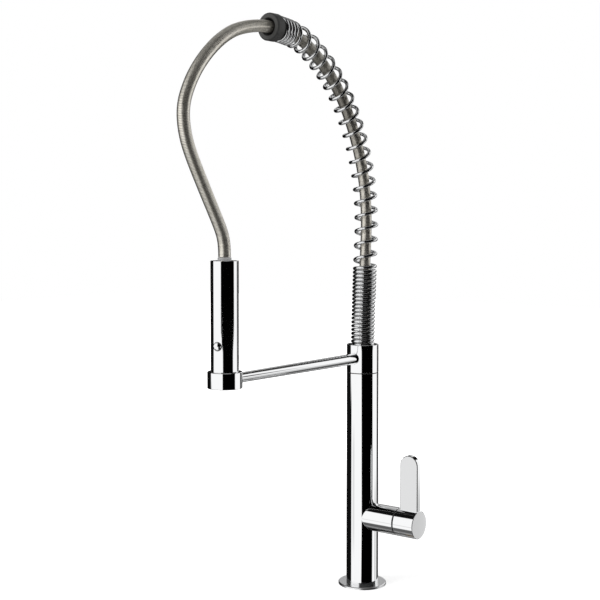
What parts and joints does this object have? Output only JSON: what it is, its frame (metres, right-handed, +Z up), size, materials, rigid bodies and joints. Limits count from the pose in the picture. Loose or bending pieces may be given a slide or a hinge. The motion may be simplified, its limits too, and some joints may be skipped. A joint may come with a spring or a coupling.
{
  "type": "side spray kitchen faucet",
  "caption": "Sprung-arch kitchen mixer with a docked pull-down hand spray on a swivelling arm and a side lever.",
  "frame": {"origin": "centre of the base flange's underside, on the column's axis, where it stands on the counter or sink deck", "axes": "+Z up along the column; -Y towards the user and over the sink, along the docking arm and the arch; +X towards the lever"},
  "size_m": [0.1078, 0.3461, 0.7064],
  "materials": {
    "chrome": "mirror polished",
    "chrome_wire": "polished spring wire",
    "brass": "machined",
    "steel": "bright",
    "copper_pipe": "drawn pipe",
    "seal_rubber": "matt black",
    "seam_black": "matt black",
    "collar_grey": "matt dark grey",
    "cartridge_white": "moulded",
    "ceramic": "ground ceramic",
    "bearing_plastic": "moulded, low friction",
    "hose_grey": "ribbed, metallised",
    "ferrule_grey": "satin light grey",
    "nozzle_grey": "soft nozzle face",
    "button_chrome": "polished"
  },
  "bodies": {
    "column": {"base_flange": "chrome", "base_gasket": "seal_rubber", "column_body": "chrome", "mounting_shank": "brass", "valve_block": "brass", "riser_pipe": "copper_pipe", "port_seal": "seal_rubber", "fixed_disc": "ceramic", "cartridge_housing": "cartridge_white", "thrust_ring": "bearing_plastic", "stem_seal": "seal_rubber", "cartridge_nut": "brass", "seam_ring": "seam_black", "swivel_core": "brass", "swivel_seals": "seal_rubber", "circlip": "steel", "swivel_washer": "seam_black"},
    "lever": {"lever_handle": "chrome", "lever_spindle": "steel", "moving_disc": "ceramic", "lever_screw": "steel"},
    "spout": {"swivel_bush": "bearing_plastic", "swivel_sleeve": "chrome", "spring_seat": "chrome", "hose_nipple": "brass", "support_arm": "chrome", "holder_ring": "chrome", "holder_liner": "bearing_plastic", "hose_arch": "hose_grey", "arch_spring": "chrome_wire", "spring_collar": "collar_grey", "hose_free": "hose_grey"},
    "spray": {"spray_shell": "chrome", "spray_core": "cartridge_white", "nozzle_plate": "nozzle_grey", "aerator": "nozzle_grey", "check_valve": "bearing_plastic", "hose_coupler": "brass", "hose_ferrule": "ferrule_grey", "button_spring": "steel"},
    "button": {"spray_button": "button_chrome", "diverter_spool": "bearing_plastic"}
  },
  "joints": [
    {"name": "spout_swivel", "type": "hinge", "parent": "column", "child": "spout", "pos_m": [0, 0, 0.262], "axis": [0, 0, 1], "continuous": true},
    {"name": "lever_turn", "type": "hinge", "parent": "column", "child": "lever", "pos_m": [0.06, 0, 0.0827], "axis": [1, 0, 0], "range_deg": [0, 100]},
    {"name": "spray_lift", "type": "slide", "parent": "spout", "child": "spray", "axis": [0, 0, 1], "range_m": [0, 0.04], "deforming": ["hose_free"]},
    {"name": "button_press", "type": "slide", "parent": "spray", "child": "button", "axis": [-0.1564, 0.9877, 0], "range_m": [0, 0.002], "stiffness_N_per_m": 400, "deforming": ["button_spring"]}
  ]
}
